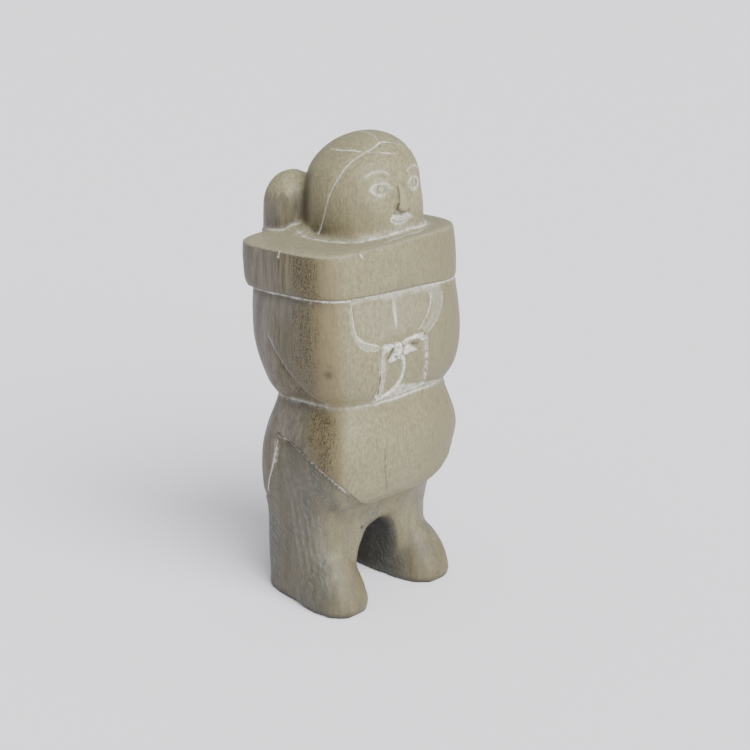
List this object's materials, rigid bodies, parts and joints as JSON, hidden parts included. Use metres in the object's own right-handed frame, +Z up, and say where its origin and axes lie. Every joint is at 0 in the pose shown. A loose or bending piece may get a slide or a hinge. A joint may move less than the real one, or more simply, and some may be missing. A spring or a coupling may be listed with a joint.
{
  "type": "stone carving",
  "caption": "Standing mother in a hooded parka with a child's head behind hers, carved in grey-green soapstone and resting on her own feet.",
  "frame": {"origin": "on the ground, in the middle of the carving's width and depth", "axes": "+Z up; -Y the way the mother looks; +X towards her left hand"},
  "size_m": [0.1268, 0.1088, 0.2979],
  "materials": {
    "soapstone": "satin, hand-rubbed grey-green soapstone with whitish tool lines"
  },
  "bodies": {
    "root": {"mother_and_child": "soapstone"}
  },
  "joints": []
}
